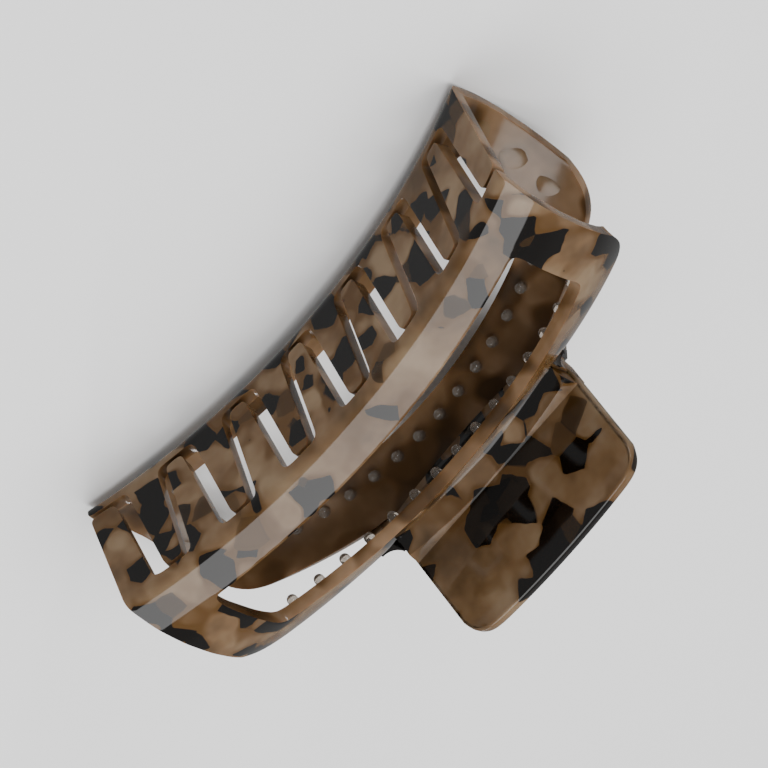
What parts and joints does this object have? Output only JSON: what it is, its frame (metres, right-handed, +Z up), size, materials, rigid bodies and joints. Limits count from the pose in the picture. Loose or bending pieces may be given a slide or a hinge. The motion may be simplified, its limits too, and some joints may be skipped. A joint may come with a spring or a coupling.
{
  "type": "claw clip",
  "caption": "Arched spring-loaded claw clip for hair: two toothed, windowed jaws hinged on a pin, with thumb handles.",
  "frame": {"origin": "centre of the bounding box at the floor, with the clip lying on its rear jaw", "axes": "+X along the clip, +Y from the teeth towards the handles, +Z up, from the rear jaw to the front jaw"},
  "size_m": [0.1074, 0.0665, 0.0521],
  "materials": {
    "shell_plastic": "high gloss, translucent beige brown with dark tortoiseshell patches",
    "pin_steel": "drawn steel wire",
    "spring_steel": "spring steel wire",
    "clear_plastic": "clear, glossy"
  },
  "bodies": {
    "rear": {"rear_jaw": "shell_plastic", "hinge_pin": "pin_steel", "torsion_spring": "spring_steel", "rear_grip": "clear_plastic"},
    "front": {"front_jaw": "shell_plastic", "front_grip": "clear_plastic"}
  },
  "joints": [
    {"name": "jaw_hinge", "type": "hinge", "parent": "rear", "child": "front", "pos_m": [0, 0.01732, 0.02445], "axis": [-1, 0, 0], "range_deg": [0, 46], "stiffness_Nm_per_rad": 0.15, "springref_deg": -28.65, "deforming": ["torsion_spring"]}
  ]
}
